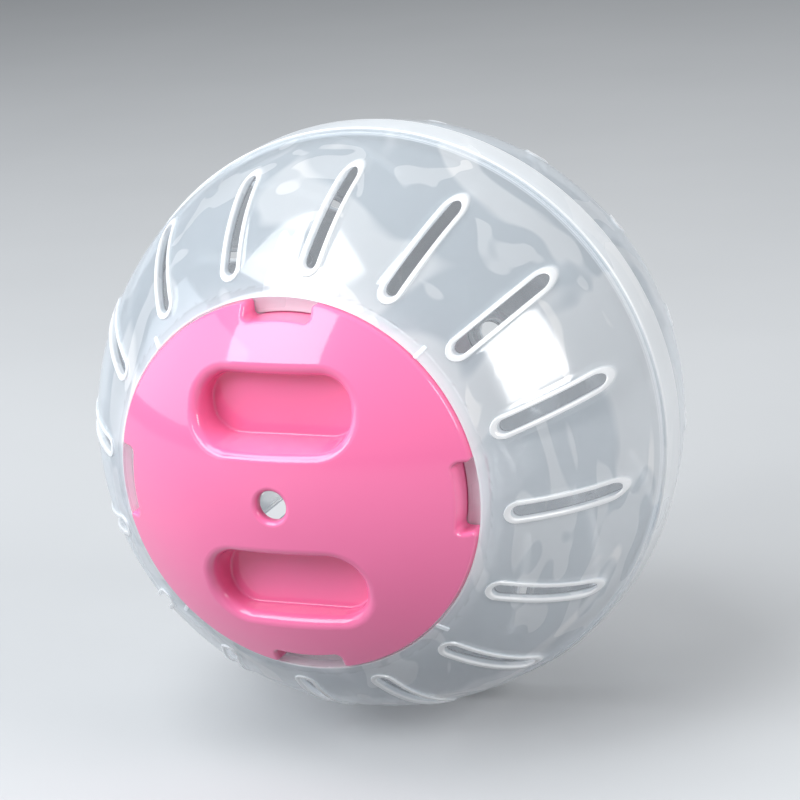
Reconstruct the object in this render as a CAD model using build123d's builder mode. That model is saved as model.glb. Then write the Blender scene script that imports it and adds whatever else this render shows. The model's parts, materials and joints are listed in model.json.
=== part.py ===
"""Hamster ball: two clear half shells with air slots, and a bayonet lid in the front one.

The ball is centred on the origin with its poles on the Y axis. The lid faces -Y, +Z is up, and
heights below are measured from the equator towards the lid, along -Y.
"""

import os
from math import atan2, degrees, sqrt

from build123d import *

os.makedirs("parts", exist_ok=True)

# Ball, in millimetres
ball_radius = 60.0
wall = 1.6
axle_hole_radius = 3.0

# Seam belt of the rear shell, and the spigot of the front shell inside it
belt_raise = 0.5
belt_front = 4.4
belt_rear = 3.9
belt_wall = 1.5
belt_round = 0.3
lap_depth = 2.6
spigot_wall = 1.2
lap_clearance = 0.15
seam_gap = 0.3
end_gap = 0.3

# Air slots, cut along the poles, each with a raised rim
slot_count = 16
slot_phase = 16.4
slot_margin = 2.95
slot_end_height = 20.0
slot_width = 2.7
slot_rim_width = 1.1
slot_rim_raise = 0.4

# Ring round the rear axle hole
ring_width = 2.4
ring_raise = 0.4
ring_depth = 1.0

# Lid seat in the front shell
step_depth = 3.3
rim_thickness = 1.8
rim_width = 3.65
rim_round = 0.4
edge_gap = 0.3
seat_gap = 0.2

# Lid
lid_radius = 37.0
lid_wall = 1.8
crown_drop = 0.5
edge_proud = 0.6
edge_round = 0.8
skirt_wall = 1.6
skirt_clearance = 0.4
boss_width = 2.0
boss_depth = 0.4
hole_round = 1.0

# Bayonet: lugs under the rim, notches over them in the lid, entry gaps in the rim
lug_count = 4
lug_width = 12.0
lug_reach = 3.0
lug_thickness = 2.0
lug_clearance = 0.25
notch_width = 13.6
notch_ledge = 0.3
notch_round = 0.9
entry_clearance = 0.5
unlock_twist = 45.0
stop_width = 1.2
stop_gap = 0.3
mark_length = 2.4
mark_width = 0.8
mark_raise = 0.3

# Finger recesses: each lies nearer the axle hole than halfway from its mouth to the notches
recess_shift = 1.575
recess_length = 30.4
recess_width = 12.8
recess_flat = 0.8
recess_depth = 8.6
recess_draft = 5.5
recess_wall = 1.6
recess_round = 1.8
floor_round = 0.5

# Planes: the section holds (radius, height) profiles, and plan faces the lid
section = Plane(origin=(0, 0, 0), x_dir=(1, 0, 0), z_dir=(0, 0, -1))
plan = Plane.XZ

# Tolerance for picking edges
tiny = 1e-4


def across(radius, height):
    """Distance from the axis at which a sphere about the origin has this height."""
    return sqrt(radius**2 - height**2)


def arc_about(centre_height, radius, start, end):
    """Arc of a circle centred on the axis, between two of its (radius, height) points."""
    first = degrees(atan2(start[1] - centre_height, start[0]))
    last = degrees(atan2(end[1] - centre_height, end[0]))
    return CenterArc((0, centre_height), radius, first, last - first)


def band_outline(inside, outside):
    """Outline of the ring between two spheres, from the equator to the front pole."""
    arc_about(0, outside, (outside, 0), (0, outside))
    Line((0, outside), (0, inside))
    arc_about(0, inside, (0, inside), (inside, 0))
    Line((inside, 0), (outside, 0))


def circle_of(radius):
    """Test for circular edges of this radius."""
    return lambda edge: abs(edge.radius - radius) < tiny


def on_dome(edge):
    """Test for edges whose ends lie on the lid's outer dome."""
    from_centre = [(Vector(*end) + Vector(0, dome_centre, 0)).length for end in edge.vertices()]
    return all(abs(reach - dome_radius) < tiny for reach in from_centre)


def outside_skirt(edge):
    """Test for edges whose ends lie further out than the lid's skirt."""
    return all(sqrt(end.X**2 + end.Z**2) > skirt_outside for end in edge.vertices())


# Derived radii and heights of the shells
inner_radius = ball_radius - wall
belt_radius = ball_radius + belt_raise
belt_inside = belt_radius - belt_wall
spigot_outside = belt_inside - lap_clearance
spigot_inside = spigot_outside - spigot_wall
shoulder = belt_front + seam_gap
spigot_end = lap_depth - end_gap
step_radius = lid_radius + edge_gap
step_outside = step_radius + wall
step_top = across(ball_radius, step_radius)
land = step_top - step_depth
rim_under = land - rim_thickness
opening_radius = step_radius - rim_width
slot_inner = step_outside + slot_margin
slot_outer = across(ball_radius, slot_end_height)
slot_length = slot_outer - slot_inner
slot_middle = (slot_outer + slot_inner) / 2
ring_radius = axle_hole_radius + ring_width
mark_middle = step_radius + mark_length / 2

# Derived sizes of the lid
skirt_outside = opening_radius - skirt_clearance
skirt_inside = skirt_outside - skirt_wall
lug_radius = opening_radius + lug_reach
lug_top = rim_under - lug_clearance
lug_bottom = lug_top - lug_thickness
flange_under = land + seat_gap
crown = ball_radius - crown_drop
edge_top = across(ball_radius, lid_radius) + edge_proud
dome_radius = (lid_radius**2 + (crown - edge_top) ** 2) / (2 * (crown - edge_top))
dome_centre = crown - dome_radius
dome_inside = dome_radius - lid_wall
notch_inner = skirt_outside + notch_ledge
mouth_radius = axle_hole_radius + hole_round
recess_offset = (mouth_radius + notch_inner) / 2 - recess_shift
recess_corner = (recess_width - recess_flat) / 2
recess_floor = dome_centre + across(dome_radius, recess_offset) - recess_depth
recess_height = crown - recess_floor
boss_radius = axle_hole_radius + boss_width
stop_middle = lug_width / 2 + stop_gap + stop_width / 2

# Rims of the air slots: bands of a slightly larger sphere, upright on the plan
with BuildPart() as slot_rims:
    with BuildSketch(section):
        with BuildLine():
            band_outline(ball_radius - wall / 2, ball_radius + slot_rim_raise)
        make_face()
    revolve(axis=Axis.Y)
    with BuildSketch(plan):
        with PolarLocations(slot_middle, slot_count, start_angle=90 + slot_phase):
            SlotOverall(slot_length + 2 * slot_rim_width, slot_width + 2 * slot_rim_width)
    extrude(amount=2 * ball_radius, mode=Mode.INTERSECT)

# Openings of the air slots, as bars to be cut from either shell
with BuildPart() as slot_bars:
    with BuildSketch(plan):
        with PolarLocations(slot_middle, slot_count, start_angle=90 + slot_phase):
            SlotOverall(slot_length, slot_width)
    extrude(amount=2 * ball_radius)

# Marks on the ball beside the lid, where the notches stand when it is unlocked
with BuildPart() as lock_marks:
    with BuildSketch(section):
        with BuildLine():
            band_outline(ball_radius - wall / 2, ball_radius + mark_raise)
        make_face()
    revolve(axis=Axis.Y)
    with BuildSketch(plan):
        with PolarLocations(mark_middle, lug_count, start_angle=90 + unlock_twist):
            Rectangle(mark_length, mark_width)
    extrude(amount=2 * ball_radius, mode=Mode.INTERSECT)

# Front shell: half ball with a spigot, a stepped seat for the lid, slots and bayonet gaps
with BuildPart() as front_shell:
    with BuildSketch(section):
        with BuildLine():
            shoulder_out = (across(ball_radius, shoulder), shoulder)
            step_rim = (step_radius, step_top)
            step_inside = (step_outside, across(inner_radius, step_outside))
            spigot_root = (spigot_inside, across(inner_radius, spigot_inside))
            arc_about(0, ball_radius, shoulder_out, step_rim)
            Polyline(
                step_rim,
                (step_radius, land),
                (opening_radius, land),
                (opening_radius, rim_under),
                (step_outside, rim_under),
                step_inside,
            )
            arc_about(0, inner_radius, step_inside, spigot_root)
            Polyline(
                spigot_root,
                (spigot_inside, -spigot_end),
                (spigot_outside, -spigot_end),
                (spigot_outside, shoulder),
                shoulder_out,
            )
        make_face()
    revolve(axis=Axis.Y)
    step_circles = front_shell.edges().filter_by(GeomType.CIRCLE).filter_by(circle_of(step_radius))
    fillet(step_circles.sort_by(Axis.Y)[0], radius=rim_round)
    add(slot_rims.part)
    add(lock_marks.part)
    add(slot_bars.part, mode=Mode.SUBTRACT)
    # Entry gaps, where the lugs drop through the rim
    with BuildSketch(plan.offset(rim_under)):
        with PolarLocations(opening_radius, lug_count, start_angle=90 + unlock_twist):
            Rectangle(2 * (lug_reach + entry_clearance), lug_width + 2 * entry_clearance)
        Circle(lug_radius + entry_clearance, mode=Mode.INTERSECT)
    extrude(amount=rim_thickness, mode=Mode.SUBTRACT)
    # Stops under the rim, at the locked end of each lug
    with BuildSketch(plan.offset(rim_under)):
        with PolarLocations(0, lug_count, start_angle=90):
            with Locations((opening_radius + lug_reach / 2, -stop_middle)):
                Rectangle(lug_reach, stop_width)
    extrude(amount=-lug_thickness)

front_shell.part.label = "front_shell"
export_step(front_shell.part, "parts/front_shell.step")

# Rear shell: half ball with the seam belt, slots and a ringed axle hole
with BuildPart() as rear_shell:
    with BuildSketch(section):
        with BuildLine():
            belt_foot = (across(ball_radius, belt_rear), -belt_rear)
            lap_floor = (across(inner_radius, lap_depth), -lap_depth)
            arc_about(0, ball_radius, (0, -ball_radius), belt_foot)
            Polyline(
                belt_foot,
                (belt_radius, -belt_rear),
                (belt_radius, belt_front),
                (belt_inside, belt_front),
                (belt_inside, -lap_depth),
                lap_floor,
            )
            arc_about(0, inner_radius, lap_floor, (0, -inner_radius))
            Line((0, -inner_radius), (0, -ball_radius))
        make_face()
    revolve(axis=Axis.Y)
    belt_edges = rear_shell.edges().filter_by(GeomType.CIRCLE).filter_by(circle_of(belt_radius))
    fillet(belt_edges, radius=belt_round)
    mirror(slot_rims.part, about=plan)
    mirror(slot_bars.part, about=plan, mode=Mode.SUBTRACT)
    with BuildSketch(plan.offset(-ball_radius - ring_raise)):
        Circle(ring_radius)
    extrude(amount=ring_raise + wall + ring_depth)
    with BuildSketch(plan.offset(-ball_radius - ring_raise)):
        Circle(axle_hole_radius)
    extrude(amount=ring_raise + wall + ring_depth, mode=Mode.SUBTRACT)

rear_shell.part.label = "rear_shell"
export_step(rear_shell.part, "parts/rear_shell.step")

# Hollow of the upper finger recess, drafted and rounded at its floor
with BuildPart() as recess:
    with BuildSketch(plan.offset(recess_floor)):
        with Locations((0, recess_offset)):
            RectangleRounded(recess_length, recess_width, recess_corner)
    extrude(amount=recess_height)
    draft(recess.faces().filter_by(Axis.Y, reverse=True), plan.offset(recess_floor), -recess_draft)
    fillet(recess.faces().sort_by(Axis.Y)[-1].edges(), radius=floor_round)

# Dish that carries that hollow, closed below
with BuildPart() as dish:
    with BuildSketch(plan.offset(recess_floor - recess_wall)):
        with Locations((0, recess_offset)):
            RectangleRounded(
                recess_length + 2 * recess_wall,
                recess_width + 2 * recess_wall,
                recess_corner + recess_wall,
            )
    extrude(amount=recess_height)
    draft(dish.faces().filter_by(Axis.Y, reverse=True), plan.offset(recess_floor), -recess_draft)

# Space under the lid: inside the skirt, round the dishes and the boss of the axle hole
with BuildPart() as lid_hollow:
    with BuildSketch(plan.offset(lug_bottom)):
        Circle(skirt_inside)
    extrude(amount=crown)
    with Locations((0, -dome_centre, 0)):
        Sphere(dome_inside, rotation=(90, 0, 0), mode=Mode.INTERSECT)
    add(dish.part, mode=Mode.SUBTRACT)
    mirror(dish.part, about=Plane.XY, mode=Mode.SUBTRACT)
    with BuildSketch(plan.offset(crown - lid_wall - boss_depth)):
        Circle(boss_radius)
    extrude(amount=lid_wall + boss_depth, mode=Mode.SUBTRACT)

# Lid: dome with a thick edge, a skirt with lugs, an axle hole and two finger recesses
with BuildPart() as lid:
    with BuildSketch(plan.offset(flange_under)):
        Circle(lid_radius)
    extrude(amount=crown)
    with Locations((0, -dome_centre, 0)):
        Sphere(dome_radius, rotation=(90, 0, 0), mode=Mode.INTERSECT)
    add(recess.part, mode=Mode.SUBTRACT)
    mirror(recess.part, about=Plane.XY, mode=Mode.SUBTRACT)
    fillet(lid.edges().filter_by(on_dome).filter_by(outside_skirt, reverse=True), radius=recess_round)
    # Notches in the edge, one over each lug, and the rounds of the edge
    with BuildSketch(plan.offset(flange_under)):
        with PolarLocations(lid_radius, lug_count, start_angle=90):
            Rectangle(2 * (lid_radius - skirt_inside), notch_width)
        Circle(notch_inner, mode=Mode.SUBTRACT)
    extrude(amount=crown, mode=Mode.SUBTRACT)
    fillet(lid.edges().filter_by(Axis.Y).filter_by(outside_skirt), radius=notch_round)
    fillet(lid.edges().filter_by(outside_skirt).filter_by(on_dome), radius=edge_round)
    # Skirt with a lug under each notch
    with BuildSketch(plan.offset(lug_top)):
        Circle(skirt_outside)
    extrude(amount=flange_under - lug_top)
    with BuildSketch(plan.offset(lug_bottom)):
        with PolarLocations(lug_radius, lug_count, start_angle=90):
            Rectangle(2 * (lug_radius - skirt_inside), lug_width)
        Circle(lug_radius, mode=Mode.INTERSECT)
        Circle(skirt_outside)
    extrude(amount=lug_thickness)
    add(lid_hollow.part, mode=Mode.SUBTRACT)
    # Axle hole with a rounded mouth
    with BuildSketch(section):
        with BuildLine():
            mouth_top = dome_centre + across(dome_radius, mouth_radius)
            throat = (axle_hole_radius, mouth_top - hole_round)
            RadiusArc(throat, (mouth_radius, mouth_top), hole_round)
            Polyline((mouth_radius, mouth_top), (mouth_radius, crown + hole_round), (0, crown + hole_round))
            Polyline((0, crown + hole_round), (0, lug_bottom), (axle_hole_radius, lug_bottom), throat)
        make_face()
    revolve(axis=Axis.Y, mode=Mode.SUBTRACT)

lid.part.label = "lid"
export_step(lid.part, "parts/lid.step")
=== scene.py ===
# %% [markdown]
# # A hamster ball
#
# The object is a hollow ball of milky clear plastic, made of two half shells that push together at a
# seam, with a glossy pink lid that twists into the front half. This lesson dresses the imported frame:
# it makes new skins for the shells as numpy surfaces, gives every piece its finish, and sets up a
# small studio.
#
# Lengths are metres, written as millimetres times `mm`. The ball's axis is Y, the lid faces -Y, and a
# "height" below is measured from the equator along -Y. A "plan" is what is seen when looking at the lid.

# %% Frame
import json
from math import asin, ceil, cos, pi, radians, sin, sqrt, tau

import bmesh
import bpy
import numpy as np
from mathutils import Matrix, Vector


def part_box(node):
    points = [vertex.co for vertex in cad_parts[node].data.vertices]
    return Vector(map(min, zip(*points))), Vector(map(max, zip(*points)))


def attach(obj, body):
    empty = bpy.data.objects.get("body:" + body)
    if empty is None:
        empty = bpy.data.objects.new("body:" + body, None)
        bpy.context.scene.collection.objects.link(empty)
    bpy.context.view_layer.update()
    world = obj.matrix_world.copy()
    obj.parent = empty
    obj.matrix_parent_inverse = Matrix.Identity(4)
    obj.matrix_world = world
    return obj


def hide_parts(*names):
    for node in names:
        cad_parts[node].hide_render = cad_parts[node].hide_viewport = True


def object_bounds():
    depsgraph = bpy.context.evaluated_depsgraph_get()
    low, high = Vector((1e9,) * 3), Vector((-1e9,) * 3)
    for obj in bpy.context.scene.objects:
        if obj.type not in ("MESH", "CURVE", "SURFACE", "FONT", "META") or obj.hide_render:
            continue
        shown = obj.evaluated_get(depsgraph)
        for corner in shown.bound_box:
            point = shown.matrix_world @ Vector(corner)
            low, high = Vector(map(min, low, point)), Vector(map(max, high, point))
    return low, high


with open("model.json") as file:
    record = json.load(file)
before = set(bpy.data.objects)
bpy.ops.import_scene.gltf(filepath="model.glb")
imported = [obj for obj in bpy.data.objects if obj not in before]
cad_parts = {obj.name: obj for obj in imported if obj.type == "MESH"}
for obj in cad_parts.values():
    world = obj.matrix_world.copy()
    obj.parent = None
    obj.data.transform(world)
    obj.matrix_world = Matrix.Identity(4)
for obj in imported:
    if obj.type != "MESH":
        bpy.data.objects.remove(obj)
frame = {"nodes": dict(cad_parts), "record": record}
cad_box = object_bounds()
mm = 0.001
print("CAD box:", [round(x / mm, 2) for corner in cad_box for x in corner])

# %% [markdown]
# ## Sizes
#
# The seam belt, the spigot, the axle hole and its ring come from the frame. The rest are the moulding's
# own details: the wall, the slots, the lap and the lid's seat.

# %% Sizes
belt_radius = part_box("rear_shell")[1].x
belt_front = -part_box("rear_shell")[0].y
ring_top = -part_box("rear_shell")[1].y
spigot_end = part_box("front_shell")[1].y
axle_hole_radius = frame["record"]["mounts"][1]["dims"]["r_mm"] * mm

belt_raise = 0.5 * mm
belt_rear = 3.9 * mm
belt_wall = 1.5 * mm
belt_round = 0.3 * mm
lap_depth = 2.6 * mm
spigot_wall = 1.2 * mm
lap_clearance = 0.15 * mm
seam_gap = 0.3 * mm
ball_radius = belt_radius - belt_raise
wall = 1.6 * mm
inner_radius = ball_radius - wall

slot_count = 16
slot_pitch = tau / slot_count
slot_turn = radians(90 + 16.4)
slot_inner = 41.85 * mm
slot_outer = 56.57 * mm
slot_width = 2.7 * mm
rim_width = 0.95 * mm
rim_raise = 0.4 * mm
rim_foot = 0.15 * mm
lip_round = 0.3 * mm

step_radius = 37.3 * mm
step_depth = 3.3 * mm
step_round = 0.4 * mm
step_outside = step_radius + wall
step_top = sqrt(ball_radius**2 - step_radius**2)
land = step_top - step_depth
seat_thickness = 1.8 * mm
seat_under = land - seat_thickness
opening_radius = step_radius - 3.65 * mm
lug_count = 4
lug_width = 12.0 * mm
lug_reach = 3.0 * mm
lug_thickness = 2.0 * mm
entry_clearance = 0.5 * mm
stop_width = 1.2 * mm
stop_gap = 0.3 * mm
mark_length = 2.4 * mm
mark_width = 0.8 * mm
mark_raise = 0.3 * mm
print("ball", round(ball_radius / mm, 2), "step", round(step_top / mm, 2), "land", round(land / mm, 2))

# %% [markdown]
# ## From a grid of points to a mesh
#
# Every skin below is a set of grids. A grid is an array of rows and columns, with four numbers at each
# point: the place, and how the plastic looks there. Milky plastic gathers light where it ends or is
# thick, so the rims of the slots get 1, which is white. The open wall gets 0, which is thinly milky. The
# belt and the spigot lie between. The lid's seat is near white as painted light, so that it stays bright
# in the lid's shade, and what hides under the seat gets less than 0, which is clear. Grids that share a
# border give the same points there, so merging doubles closes the mesh.


# %% Mesh tools
def place(radius, angle, height):
    """Point at a distance from the axis, turned by an angle from +X towards +Z, at a height along -Y."""
    return np.stack(np.broadcast_arrays(radius * np.cos(angle), -height, radius * np.sin(angle)), axis=-1)


def with_edge(points, edge):
    """Adds the look of the plastic as a fourth number to each point."""
    edge = np.broadcast_to(np.asarray(edge, float)[..., None], points.shape[:-1] + (1,))
    return np.concatenate([points, edge], axis=-1)


def make_piece(name, grids, sharp_angle=35):
    """Joins the grids into one smooth, closed mesh object, with the fourth number as an attribute."""
    points, faces, first = [], [], 0
    for grid in grids:
        rows, columns = grid.shape[:2]
        index = first + np.arange(rows * columns).reshape(rows, columns)
        quads = np.stack([index[:-1, :-1], index[:-1, 1:], index[1:, 1:], index[1:, :-1]], axis=-1)
        faces.append(quads.reshape(-1, 4))
        points.append(grid.reshape(-1, 4))
        first += rows * columns
    points = np.concatenate(points)
    mesh = bpy.data.meshes.new(name)
    mesh.from_pydata(points[:, :3].tolist(), [], np.concatenate(faces).tolist())
    mesh.attributes.new("edge", "FLOAT", "POINT").data.foreach_set("value", points[:, 3].astype(np.float32))
    shell = bmesh.new()
    shell.from_mesh(mesh)
    bmesh.ops.remove_doubles(shell, verts=shell.verts, dist=0.002 * mm)
    bmesh.ops.dissolve_degenerate(shell, edges=shell.edges, dist=0.001 * mm)
    bmesh.ops.recalc_face_normals(shell, faces=shell.faces)
    open_edges = sum(not edge.is_manifold for edge in shell.edges)
    shell.to_mesh(mesh)
    shell.free()
    mesh.shade_smooth()
    mesh.set_sharp_from_angle(angle=radians(sharp_angle))
    piece = bpy.data.objects.new(name, mesh)
    bpy.context.scene.collection.objects.link(piece)
    print(name, len(mesh.polygons), "faces,", open_edges, "open edges")
    return piece


# %% [markdown]
# ## Profiles
#
# Seat, seam belt and axle ring are turned shapes: a profile of radius and height carried round the
# axis. A rounded corner of a profile is a short curve, and a stretch of the ball is an arc about its
# centre. Long straight runs get points in between, so that a white corner fades out close to the corner.


# %% Turned shapes
def ball_arc(radius, start, end, count, side=1):
    """Profile points along a sphere between two distances from the axis, evenly by angle."""
    angle = np.linspace(asin(start / radius), asin(end / radius), count)
    return np.stack([radius * np.sin(angle), side * radius * np.cos(angle)], axis=1)


def on_ball(radius, reach, side=1):
    """Profile point on a sphere at a distance from the axis."""
    return reach, side * sqrt(radius**2 - reach**2)


def at_height(radius, height):
    """Profile point on a sphere at a height."""
    return sqrt(radius**2 - height**2), height


def rounded(corners, radius, count=5):
    """Polyline through corner points with every inner corner replaced by a quadratic round."""
    corners = np.asarray(corners, float)
    t = np.linspace(0, 1, count)[:, None]
    path = [corners[:1]]
    for before, corner, after in zip(corners[:-2], corners[1:-1], corners[2:]):
        back, ahead = before - corner, after - corner
        a = corner + back * min(radius / np.linalg.norm(back), 0.5)
        b = corner + ahead * min(radius / np.linalg.norm(ahead), 0.5)
        path.append((1 - t) ** 2 * a + 2 * t * (1 - t) * corner + t**2 * b)
    path.append(corners[-1:])
    return np.concatenate(path)


def refined(profile, spacing):
    """The same polyline with points added, so that no run is longer than the spacing."""
    runs = []
    for a, b in zip(profile[:-1], profile[1:]):
        count = max(1, ceil(np.linalg.norm(b - a) / spacing))
        runs.append(np.linspace(a, b, count + 1)[:-1])
    return np.concatenate(runs + [profile[-1:]])


def smooth(t):
    """Smooth step from 0 to 1."""
    t = np.clip(t, 0, 1)
    return t * t * (3 - 2 * t)


def near(profile, spots, reach):
    """1 at each named spot of a profile, falling smoothly to 0 over the reach."""
    gap = np.min([np.hypot(*(profile - np.asarray(spot)).T) for spot in spots], axis=0)
    return smooth(1 - gap / reach)


def turned(profile, angles, edge):
    """Grid of a profile (radius, height) carried round the axis, a column for each angle."""
    points = place(profile[:, :1], angles[None, :], profile[:, 1:])
    return with_edge(points, np.broadcast_to(edge[:, None], points.shape[:2]))


# %% [markdown]
# ## Air slots
#
# Each half has sixteen slots. They are cut straight along the axis, so in plan each is a stadium: two
# straight sides and two half circles. A raised rim follows it. One sector of the shell is a grid whose
# columns go round the slot and whose rows go from the sector's border up over the rim, down through the
# slot's wall and back along the inside. Sixteen turned copies make the slotted belt of a half.


# %% Slotted sectors
side_steps = 22
cap_steps = 14
slot_half_length = (slot_outer - slot_inner - slot_width) / 2
slot_middle = (slot_outer + slot_inner) / 2
outer_border = (39.2 * mm, 59.0 * mm)
inner_border = (40.1 * mm, 57.4 * mm)


def closed(first_side, first_cap, second_side, second_cap):
    """One closed run of numbers round a slot: side, cap, side, cap, and the first number again."""
    run = np.concatenate([first_side, first_cap, second_side, second_cap])
    return np.append(run, run[0])


def stadium(offset):
    """Polar plan points (radius, angle) round the slot, set off outwards from its edge."""
    reach = slot_width / 2 + offset
    run = np.linspace(1, -1, side_steps + 1)[:-1] * slot_half_length
    turn = np.linspace(pi / 2, 3 * pi / 2, cap_steps + 1)[:-1]
    beside = np.full_like(run, reach)
    cap_along, cap_aside = reach * np.cos(turn), reach * np.sin(turn)
    along = closed(run, -slot_half_length + cap_along, -run, slot_half_length - cap_along) + slot_middle
    aside = closed(beside, cap_aside, -beside, -cap_aside)
    return np.hypot(along, aside), np.arctan2(aside, along)


def sector_border(low, high):
    """Polar plan points round a sector in the stadium's order: ray, inner arc, ray, outer arc."""
    half = slot_pitch / 2
    run = np.linspace(high, low, side_steps + 1)[:-1]
    turn = np.linspace(half, -half, cap_steps + 1)[:-1]
    radius = closed(run, np.full_like(turn, low), low + high - run, np.full_like(turn, high))
    angle = closed(np.full_like(run, half), turn, np.full_like(run, -half), -turn)
    return radius, angle


def slotted_sector(side):
    """Rows of one sector as (radius, angle, height, edge): outside, rim, slot wall, inside."""
    rows = []

    def add(polar, sphere, edge):
        """Lifts plan points onto a sphere."""
        radius, angle = polar
        height = side * np.sqrt(sphere**2 - radius**2)
        rows.append(np.stack([radius, angle, height, np.full_like(radius, edge)], axis=-1))

    def between(a, b, t):
        """Plan points a share of the way from a to b."""
        return a[0] + (b[0] - a[0]) * t, a[1] + (b[1] - a[1]) * t

    outer, inner = sector_border(*outer_border), sector_border(*inner_border)
    foot = rim_width + rim_foot
    rim_top = ball_radius + rim_raise
    for t in np.linspace(1, 0, 8):
        add(between(stadium(foot), outer, t), ball_radius, 0)
    for offset in np.linspace(foot, rim_width - rim_foot, 6)[1:]:
        rise = smooth((foot - offset) / (2 * rim_foot))
        add(stadium(offset), ball_radius + rim_raise * rise, rise)
    for turn in np.linspace(0, pi / 2, 5):
        add(stadium(lip_round * (1 - sin(turn))), rim_top - lip_round * (1 - cos(turn)), 1)
    for sphere in np.linspace(rim_top - lip_round, inner_radius + lip_round, 4)[1:]:
        add(stadium(0), sphere, 0.3)
    for turn in np.linspace(0, pi / 2, 4)[1:]:
        add(stadium(lip_round * (1 - cos(turn))), inner_radius + lip_round * (1 - sin(turn)), 0.3)
    for t in np.linspace(0, 1, 8):
        add(between(stadium(2 * lip_round), inner, t), inner_radius, 0)
    return np.array(rows)


def slotted_band(side):
    """Sixteen turned copies of the sector."""
    radius, angle, height, edge = np.moveaxis(slotted_sector(side), -1, 0)
    turns = slot_turn + slot_pitch * np.arange(slot_count)
    return [with_edge(place(radius, angle + turn, height), edge) for turn in turns]


round_angles = slot_turn - slot_pitch / 2 + np.linspace(0, tau, slot_count * cap_steps + 1)
print(slot_count, "slots in each half,", len(round_angles) - 1, "columns round the ball")

# %% [markdown]
# ## Rear half
#
# The rear half carries the seam belt: a thicker band that stands a little proud of the ball and laps
# over the front half's spigot. It is thicker than the wall, so it looks whiter, and its corners are the
# white lines that run round the ball. The pole of this half has a ringed hole for an axle.

# %% Rear half
profile_step = 0.5 * mm
belt_inside = belt_radius - belt_wall
belt_path = rounded([
    at_height(ball_radius, -2 * belt_rear),
    at_height(ball_radius, -belt_rear),
    (belt_radius, -belt_rear),
    (belt_radius, belt_front),
    (belt_inside, belt_front),
    (belt_inside, -lap_depth),
    at_height(inner_radius, -lap_depth),
    at_height(inner_radius, -2 * belt_rear),
], belt_round)
belt_profile = refined(np.concatenate([
    ball_arc(ball_radius, outer_border[1], belt_path[0, 0], 6, -1)[:-1],
    belt_path,
    ball_arc(inner_radius, belt_path[-1, 0], inner_border[1], 6, -1)[1:],
]), profile_step)
belt_lines = [(belt_radius, belt_front), (belt_radius, -belt_rear)]
on_belt = smooth((belt_profile[:, 0] - ball_radius) / belt_raise)
belt_edge = 0.55 * near(belt_profile, belt_lines, 0.7 * mm) + 0.7 * on_belt

ring_width = 2.4 * mm
ring_depth = 3.0 * mm
ring_round = 0.25 * mm
ring_radius = axle_hole_radius + ring_width
ring_foot = ring_radius + 1.0 * mm
ring_end = ring_top + ring_depth
ring_path = rounded([
    on_ball(ball_radius, ring_foot, -1),
    on_ball(ball_radius, ring_radius, -1),
    (ring_radius, ring_top),
    (axle_hole_radius, ring_top),
    (axle_hole_radius, ring_end),
    (ring_radius, ring_end),
    on_ball(inner_radius, ring_radius, -1),
    on_ball(inner_radius, ring_foot, -1),
], ring_round)
pole_profile = np.concatenate([
    ball_arc(ball_radius, outer_border[0], ring_foot, 24, -1)[:-1],
    refined(ring_path, profile_step),
    ball_arc(inner_radius, ring_foot, inner_border[0], 24, -1)[1:],
])
pole_edge = near(pole_profile, [(ring_radius, ring_top), (axle_hole_radius, ring_top)], 0.9 * mm)
rear = make_piece("rear_shell_skin", slotted_band(-1) + [
    turned(belt_profile, round_angles, belt_edge),
    turned(pole_profile, round_angles, pole_edge),
])

# %% [markdown]
# ## Front half
#
# The front half ends in a thin spigot at the seam. Round the lid it drops by a step to a land, and a
# milky rim under the lid holds the four bayonet lugs. The rim is cut by four gaps where the lugs drop in,
# so it is made as four blocks between parallel sides.

# %% Seat rim
ring_inside = opening_radius + lug_reach + entry_clearance
seat_round = 0.25 * mm
# Painted light: the rim and the land are whitened to near white, so that they stay bright in the lid's
# shade.
seat_painted_light = 0.85


def block(profile, centre, half_width, gap_turn, steps=28):
    """Closed solid of a profile between two gaps of parallel sides, turned about the axis by centre.

    At each distance from the axis the block runs from the first gap's side, asin(half_width / radius)
    past the gap's middle, to the mirrored side at the next gap. The ends are fans to the profile's middle.
    """
    loop = np.vstack([profile, profile[:1]])
    half = gap_turn - np.arcsin(half_width / loop[:, 0])
    angle = centre + half[:, None] * np.linspace(-1, 1, steps + 1)
    walls = place(loop[:, :1], angle, loop[:, 1:])
    grids = [walls]
    for end in (walls[:, 0], walls[:, -1]):
        grids.append(np.stack([end, np.broadcast_to(end[:-1].mean(axis=0), end.shape)]))
    return grids


def seat_rim():
    """The four blocks of the rim round the axis, whitened as painted light, with a white line along the
    inner edge.
    """
    middle = (land + seat_under) / 2
    profile = refined(rounded([
        (ring_inside, middle),
        (ring_inside, land),
        (opening_radius, land),
        (opening_radius, seat_under),
        (ring_inside, seat_under),
        (ring_inside, middle),
    ], seat_round), profile_step)[:-1]
    look = seat_painted_light + (1 - seat_painted_light) * near(profile, [(opening_radius, land)], 1.2 * mm)
    look = np.append(look, look[0])
    grids = []
    for k in range(lug_count):
        half_width = lug_width / 2 + entry_clearance
        walls, *ends = block(profile, k * tau / lug_count, half_width, pi / lug_count)
        grids.append(with_edge(walls, np.broadcast_to(look[:, None], walls.shape[:2])))
        grids += [with_edge(end, np.full(end.shape[:2], 0.5)) for end in ends]
    return grids


# %% [markdown]
# Beside the lid, four raised ticks on the ball show where the lid's notches stand when it is unlocked,
# and under the rim a small stop ends each lug's way. All are little bars with soft edges, so one formula
# does.

# %% Ticks and stops
tick_look = 0.6
stop_look = -0.9


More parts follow.
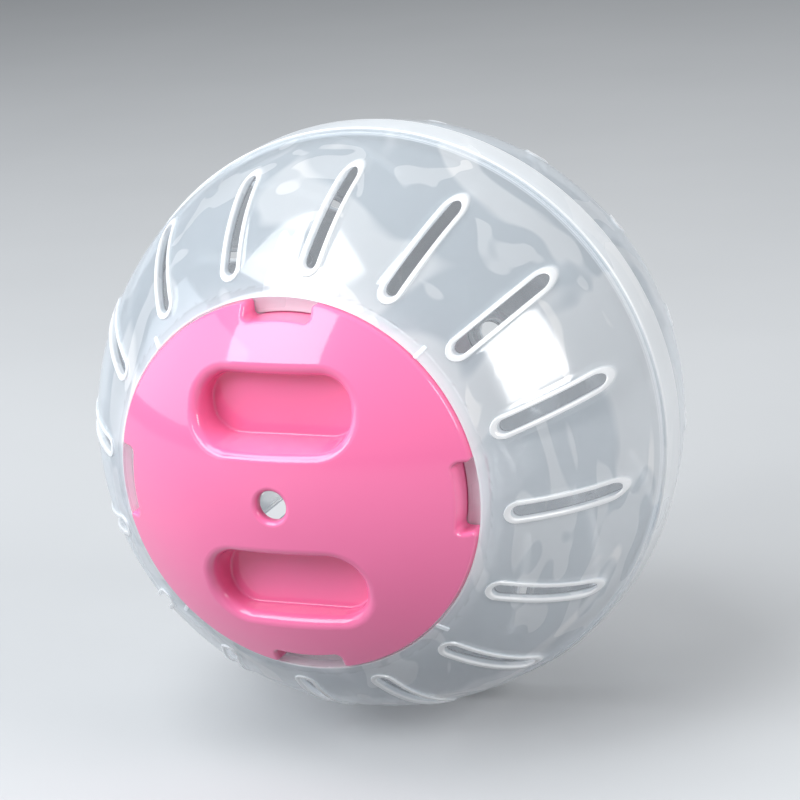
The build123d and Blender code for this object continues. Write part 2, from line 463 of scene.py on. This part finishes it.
def bar(centre, axes, size, edge, squareness=0.3):
    """Closed bar with soft edges: a superellipsoid.

    It is half the size times signed powers of a sphere's coordinates, along three unit vectors, the axes.
    The power is the squareness: 1 is an ellipsoid, 0 a box.
    """
    turn = np.linspace(-pi, pi, 33)[None, :]
    lift = np.linspace(-pi / 2, pi / 2, 17)[:, None]
    sphere = np.broadcast_arrays(np.cos(lift) * np.cos(turn), np.cos(lift) * np.sin(turn), np.sin(lift))
    sphere = np.stack(sphere, axis=-1)
    soft = np.sign(sphere) * np.abs(sphere) ** squareness
    points = np.asarray(centre) + (soft * np.asarray(size) / 2) @ np.asarray(axes)
    return with_edge(points, np.full(points.shape[:2], edge))


def outwards(angle):
    """Unit vectors away from the axis and round it, at an angle in plan."""
    return np.array([cos(angle), 0, sin(angle)]), np.array([-sin(angle), 0, cos(angle)])


def tick(angle):
    """Raised tick on the ball, lying along its slope."""
    away, around = outwards(angle)
    middle = asin((step_radius + mark_length / 2) / ball_radius)
    up = away * sin(middle) + np.array([0, -cos(middle), 0])
    along = away * cos(middle) + np.array([0, sin(middle), 0])
    size = (mark_length / cos(middle), mark_width, 2 * mark_raise)
    return bar(up * ball_radius, (along, around, up), size, tick_look)


def stop(angle):
    """Stop under the rim, at the end of a lug."""
    away, around = outwards(angle)
    aside = -(lug_width / 2 + stop_gap + stop_width / 2)
    centre = away * (opening_radius + lug_reach / 2) + around * aside
    centre[1] = -(seat_under - lug_thickness / 2)
    size = (lug_reach, stop_width, lug_thickness)
    return bar(centre, (away, around, (0, -1, 0)), size, stop_look)


# %% [markdown]
# The rest of the front half is turned. Two fine white lines follow the seam on the outside, where the
# plastic of the lap shows through. At the lid, the step's corner is white, and its wall and land are
# painted near white, as painted light that keeps them bright in the lid's shade.

# %% Front half
spigot_outside = belt_inside - lap_clearance
spigot_inside = spigot_outside - spigot_wall
shoulder = belt_front + seam_gap
shoulder_corner = at_height(ball_radius, shoulder)
seam_path = rounded([
    at_height(ball_radius, 2 * shoulder),
    shoulder_corner,
    (spigot_outside, shoulder),
    (spigot_outside, -spigot_end),
    (spigot_inside, -spigot_end),
    on_ball(inner_radius, spigot_inside),
    on_ball(inner_radius, inner_border[1]),
], belt_round)
fine_step = 0.2 * mm
seam_band = refined(np.concatenate([
    ball_arc(ball_radius, outer_border[1], seam_path[0, 0], 5)[:-1],
    seam_path[:2],
]), fine_step)
seam_profile = np.concatenate([seam_band[:-1], refined(seam_path[1:], profile_step)])
seam_lines = [at_height(ball_radius, shoulder + gap) for gap in (0.9 * mm, 1.7 * mm)]
off_inside = seam_profile[:, 0] > spigot_inside + belt_round
on_spigot = smooth((shoulder - seam_profile[:, 1]) / belt_round) * off_inside
seam_edge = 0.7 * near(seam_profile, [shoulder_corner], 0.6 * mm)
seam_edge = seam_edge + 0.6 * near(seam_profile, seam_lines, 0.3 * mm)
seam_edge = np.maximum(seam_edge, 0.55 * on_spigot)

step_path = refined(rounded([
    on_ball(ball_radius, outer_border[0]),
    (step_radius, step_top),
    (step_radius, land),
    (ring_inside, land),
    (ring_inside, seat_under),
    (step_outside, seat_under),
    on_ball(inner_radius, step_outside),
    on_ball(inner_radius, inner_border[0]),
], step_round), profile_step)
below_top = step_top - step_path[:, 1]
behind_wall = step_path[:, 0] > step_radius + 0.1 * mm
on_land = smooth((step_radius - step_path[:, 0]) / (0.3 * mm))
on_wall = smooth(below_top / mm) * (1 - on_land) * ~behind_wall
under_seat = smooth(below_top / step_depth) * behind_wall
# Painted light: the step's wall and land are whitened, so that they stay bright inside the lid's notches.
step_look_and_painted_light = 0.75 * near(step_path, [(step_radius, step_top)], 0.9 * mm) + 0.95 * on_wall
step_look_and_painted_light = step_look_and_painted_light + seat_painted_light * on_land - 0.7 * under_seat

quarter_turns = pi / 2 + np.arange(lug_count) * tau / lug_count
front = make_piece("front_shell_skin", slotted_band(1) + [
    turned(seam_profile, round_angles, seam_edge),
    turned(step_path, round_angles, step_look_and_painted_light),
    *seat_rim(),
    *(tick(turn + pi / lug_count) for turn in quarter_turns),
    *(stop(turn) for turn in quarter_turns),
])

# %% [markdown]
# ## Shader maths in Python
#
# A small class wraps an output of a shader node. Operators on it add Math nodes, so a mask can be
# written as `1 - mask` or `0.3 + 0.2 * mask`. One method makes any other node.


# %% Shader tools
class Shade:
    """One output of a shader node; the operators on it add Math nodes."""

    def __init__(self, finish, socket):
        self.finish = finish
        self.socket = socket

    def math(self, operation, a, b):
        """A Math node on two values or links."""
        return self.finish.node("Math", {"operation": operation}, {0: a, 1: b})

    def __add__(self, other):
        return self.math("ADD", self, other)

    def __radd__(self, other):
        return self.math("ADD", other, self)

    def __sub__(self, other):
        return self.math("SUBTRACT", self, other)

    def __rsub__(self, other):
        return self.math("SUBTRACT", other, self)

    def __mul__(self, other):
        return self.math("MULTIPLY", self, other)

    def __rmul__(self, other):
        return self.math("MULTIPLY", other, self)

    def __truediv__(self, other):
        return self.math("DIVIDE", self, other)

    def __rtruediv__(self, other):
        return self.math("DIVIDE", other, self)


class Finish:
    """A material and the one method that makes its nodes."""

    def __init__(self, name, **constants):
        self.material = bpy.data.materials.new(name)
        self.material.use_nodes = True
        self.tree = self.material.node_tree
        self.surface = self.tree.nodes["Principled BSDF"]
        for socket, value in constants.items():
            self.surface.inputs[socket.replace("_", " ")].default_value = value

    def node(self, kind, settings=None, inputs=None, output=0):
        """Any node: its type, its settings, the values or links of its sockets, and the output wanted."""
        made = self.tree.nodes.new("ShaderNode" + kind)
        for name, value in (settings or {}).items():
            setattr(made, name, value)
        for key, value in (inputs or {}).items():
            if isinstance(value, Shade):
                self.tree.links.new(value.socket, made.inputs[key])
            else:
                made.inputs[key].default_value = value
        return Shade(self, made.outputs[output])

    def mix(self, factor, a, b):
        """Colour between a and b. A Mix node's colour sockets go by number: 6 and 7 in, 2 out."""
        return self.node("Mix", {"data_type": "RGBA"}, {0: factor, 6: a, 7: b}, 2)

    def step(self, value, low, high):
        """0 below low, 1 above high, smooth between."""
        return self.node("MapRange", {"interpolation_type": "SMOOTHSTEP"}, {0: value, 1: low, 2: high})

    def spot(self):
        """Place on the piece, in its own coordinates."""
        return self.node("TexCoord", output="Object")

    def noise(self, scale, detail=2.0, roughness=0.5, distortion=0.0, stretch=1.0):
        """Noise with a scale in cycles per metre, drawn out upwards by the stretch."""
        squeeze = {0: self.spot(), 1: (1, 1, 1 / stretch)}
        spot = self.node("VectorMath", {"operation": "MULTIPLY"}, squeeze)
        values = {"Vector": spot, "Scale": scale, "Detail": detail, "Roughness": roughness}
        return self.node("TexNoise", None, {**values, "Distortion": distortion})

    def bump(self, height, strength, distance):
        """Normal of a surface that is raised by a height from 0 to 1, times a distance."""
        return self.node("Bump", None, {"Strength": strength, "Distance": distance, "Height": height})

    def blend(self, factor, shader):
        """Gives the surface a share of another shader."""
        plain = Shade(self, self.surface.outputs[0])
        mixed = self.node("MixShader", None, {0: factor, 1: plain, 2: shader})
        self.tree.links.new(mixed.socket, self.tree.nodes["Material Output"].inputs["Surface"])

    def set(self, **links):
        """Links what changes over the surface, and gives back the finished material."""
        for socket, value in links.items():
            self.tree.links.new(value.socket, self.surface.inputs[socket.replace("_", " ")])
        return self.material


# %% [markdown]
# ## Clear plastic
#
# The shell is thin plastic with a milky, slightly blue cast. Both faces of the wall are part of the mesh,
# so each face covers only a share of what is behind it, through Alpha. Paler patches with crisp borders
# are painted reflections of the studio in the wavy wall, small upright flecks are flow marks of the
# moulding, and slow waves bend the reflections. Where the plastic ends, at slot rims and belt corners, it
# is white and dense.
#
# Milky plastic also passes light on: a wall that is lit from behind glows. A Translucent shader does that,
# and takes its share out of the cover. The inner face of the wall gets a painted dark shade, so that the
# slots, which look in on it, are darker than the wall round them. Two numbers make up for Alpha: it thins
# the reflection too, so the IOR is higher than plastic's, and the shadow covers less than the eye sees,
# because scattered light fills it.


# %% Clear plastic
def clear_plastic():
    finish = Finish("milky_clear_plastic", IOR=2.3)
    edge = finish.node("Attribute", {"attribute_name": "edge"}, output="Fac")
    white = finish.step(edge, 0.0, 1.0)
    clear = finish.step(0 - edge, 0.0, 1.0)
    from_centre = finish.node("VectorMath", {"operation": "LENGTH"}, {0: finish.spot()}, "Value")
    inside = finish.step(from_centre, ball_radius - 0.4 * wall, ball_radius - 0.8 * wall)
    # Painted reflections: the patches stand in for the studio mirrored in the wavy wall, and are paler and
    # denser there.
    reflection_patch = finish.step(finish.noise(26.0, 2.0, 0.5, 1.0), 0.49, 0.54)
    fleck = finish.step(finish.noise(80.0, 1.0, 0.5, 1.0, 3.0), 0.58, 0.61)
    pale = (reflection_patch * 0.55 + fleck * 0.45) * (1 - inside)
    waves = finish.noise(36.0, 0.0, 0.4, 0.8)
    colour = finish.mix(pale, (0.77, 0.86, 0.93, 1), (0.98, 0.99, 0.99, 1))
    # Painted shade: the inner face is nearly black, so that the slots look dark inside.
    colour = finish.mix(inside, colour, (0.10, 0.12, 0.14, 1))
    colour = finish.mix(white, colour, (0.95, 0.96, 0.97, 1))
    dense = (0.56 + 0.34 * pale - 0.08 * inside) * (1 - 0.8 * clear)
    shadow = finish.node("LightPath", output="Is Shadow Ray")
    cover = (dense + white * (0.96 - dense)) * (1 - 0.45 * shadow)
    glow = cover * (1 - inside * (1 - white)) * (0.38 - 0.16 * white)
    finish.blend(glow, finish.node("BsdfTranslucent", None, {"Color": (0.93, 0.96, 0.98, 1)}))
    return finish.set(
        Base_Color=colour,
        Alpha=(cover - glow) / (1 - glow),
        Roughness=0.06 + 0.06 * reflection_patch + 0.22 * white,
        Normal=finish.bump(waves, 0.5, 1.2 * mm),
    )


# %% [markdown]
# ## Pink plastic
#
# The lid is solid glossy plastic. Its colour drifts a little, and a very slow ripple keeps the
# reflection of a lamp from being perfectly straight. A clear coat gives the sharp reflection, and the
# rougher plastic below gives a weak, broad sheen round it.


# %% Pink plastic
def pink_plastic():
    gloss = {"IOR": 1.5, "Specular_IOR_Level": 0.22, "Coat_IOR": 1.5, "Coat_Roughness": 0.06}
    finish = Finish("glossy_pink_plastic", **gloss)
    drift = finish.noise(26.0, 1.0)
    ripple = finish.noise(60.0, 0.0, 0.4, 0.5)
    return finish.set(
        Base_Color=finish.mix(drift, (0.93, 0.17, 0.39, 1), (0.97, 0.21, 0.43, 1)),
        Roughness=0.30 + 0.08 * drift,
        Coat_Weight=0.92 + 0.08 * ripple,
        Normal=finish.bump(ripple, 0.15, 0.3 * mm),
    )


shell_finish = clear_plastic()
lid_finish = pink_plastic()
for skin, body, node in ((front, "front_half", "front_shell"), (rear, "rear_half", "rear_shell")):
    skin.data.materials.append(shell_finish)
    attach(skin, body)
    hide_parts(node)
lid = frame["nodes"]["lid"]
lid.data.materials.clear()
lid.data.materials.append(lid_finish)
print("finishes:", shell_finish.name, lid_finish.name)

# %% [markdown]
# ## Floor
#
# A plain pale floor lies under the ball and takes its shadow. It throws back less light than it shows, or
# the underside of the ball would be too bright. The Light Path node tells the two apart: the eye, a
# mirroring and a clear surface see the pale colour, and scattered light meets the darker one.


# %% Floor
def floor_plane(level, reach):
    """Square floor at a level, pale where it is looked at and darker for the light it throws back."""
    corners = np.array([[-1, -1], [1, -1], [1, 1], [-1, 1]]) * reach
    points = np.column_stack([corners, np.full(4, level)])
    mesh = bpy.data.meshes.new("floor")
    mesh.from_pydata(points.tolist(), [], [(0, 1, 2, 3)])
    floor = bpy.data.objects.new("floor", mesh)
    bpy.context.scene.collection.objects.link(floor)
    finish = Finish("pale_floor", Roughness=0.75, IOR=1.3)
    grain = finish.noise(14.0, 3.0)
    pale = finish.mix(grain, (0.50, 0.51, 0.52, 1), (0.53, 0.54, 0.55, 1))
    rays = ("Is Camera Ray", "Is Glossy Ray", "Is Transmission Ray")
    camera, glossy, through = (finish.node("LightPath", output=ray) for ray in rays)
    seen = camera + glossy + through
    mesh.materials.append(finish.set(Base_Color=finish.mix(seen, (0.20, 0.20, 0.20, 1), pale)))
    return floor


floor_reach = 8.0
floor = floor_plane(cad_box[0].z, floor_reach)
print("floor at", round(cad_box[0].z / mm, 2), "mm")

# %% [markdown]
# ## Light
#
# A soft key light from the upper left mirrors in the top of the lid. Lamps above and to the sides give the
# gleams on the shell, and a weak one behind fills the back without a gleam of its own. All are rectangles,
# as soft boxes are in a studio, at the same distance from the ball.

# %% Light
lamp_distance = 0.9


def aim(obj, position, target, roll=0.0):
    """Puts a lamp or camera at a position, looking at a target, turned about its own line of sight."""
    back = (Vector(position) - Vector(target)).normalized()
    right = Vector((0, 0, 1)).cross(back).normalized()
    up = back.cross(right)
    turn = Matrix((right, up, back)).transposed().to_4x4() @ Matrix.Rotation(roll, 4, "Z")
    obj.matrix_world = Matrix.Translation(position) @ turn


def lamp(name, direction, size, power, colour=(1, 1, 1)):
    """Rectangle of light that faces the ball and stays out of the camera's sight."""
    data = bpy.data.lights.new(name, "AREA")
    data.shape = "RECTANGLE"
    data.size, data.size_y = size
    data.energy = power
    data.color = colour
    made = bpy.data.objects.new(name, data)
    made.visible_camera = False
    bpy.context.scene.collection.objects.link(made)
    aim(made, Vector(direction).normalized() * lamp_distance, (0, 0, 0))
    return made


lamp("key_light", (-0.37, -0.72, 0.58), (0.55, 0.42), 5.2, (0.96, 0.98, 1.0))
lamp("top_light", (-0.32, -0.25, 0.91), (0.60, 0.50), 5.0, (0.97, 0.99, 1.0))
lamp("left_light", (-0.88, -0.38, 0.30), (0.90, 0.50), 3.3, (0.82, 0.90, 1.0))
lamp("side_light", (0.90, -0.10, 0.43), (0.46, 0.40), 5.2)
back_light = lamp("back_light", (-0.25, 0.65, 0.95), (0.80, 0.60), 2.0)
back_light.visible_glossy = False

world = bpy.data.worlds.new("studio")
world.use_nodes = True
sky = world.node_tree.nodes["Background"]
sky.inputs["Color"].default_value = (0.91, 0.95, 1.0, 1)
sky.inputs["Strength"].default_value = 0.27
scene = bpy.context.scene
scene.world = world
scene.view_settings.view_transform = "Standard"
print("lamps:", [light.name for light in bpy.data.lights])

# %% [markdown]
# ## Camera
#
# The camera stands where the photograph was taken from. Its place was found by fitting the ball's outline,
# seam, lid and slots. It is a little tilted, as a camera held by hand is.


# %% Camera
def seen_from(azimuth, elevation, distance):
    """Point at a distance from the origin, at an azimuth from -Y towards +X and an elevation."""
    flat = distance * cos(elevation)
    return Vector((flat * sin(azimuth), -flat * cos(azimuth), distance * sin(elevation)))


camera_data = bpy.data.cameras.new("camera")
camera_data.sensor_width = 36.0
camera_data.lens = 124.8
camera = bpy.data.objects.new("camera", camera_data)
scene.collection.objects.link(camera)
camera_distance = 0.57
camera_spot = seen_from(radians(24.04), radians(16.99), camera_distance)
camera_aim = (1.5 * mm, 1.4 * mm, 2.2 * mm)
camera_roll = radians(-4.82)
aim(camera, camera_spot, camera_aim, camera_roll)
scene.camera = camera
print("camera at", [round(x, 3) for x in camera_spot])
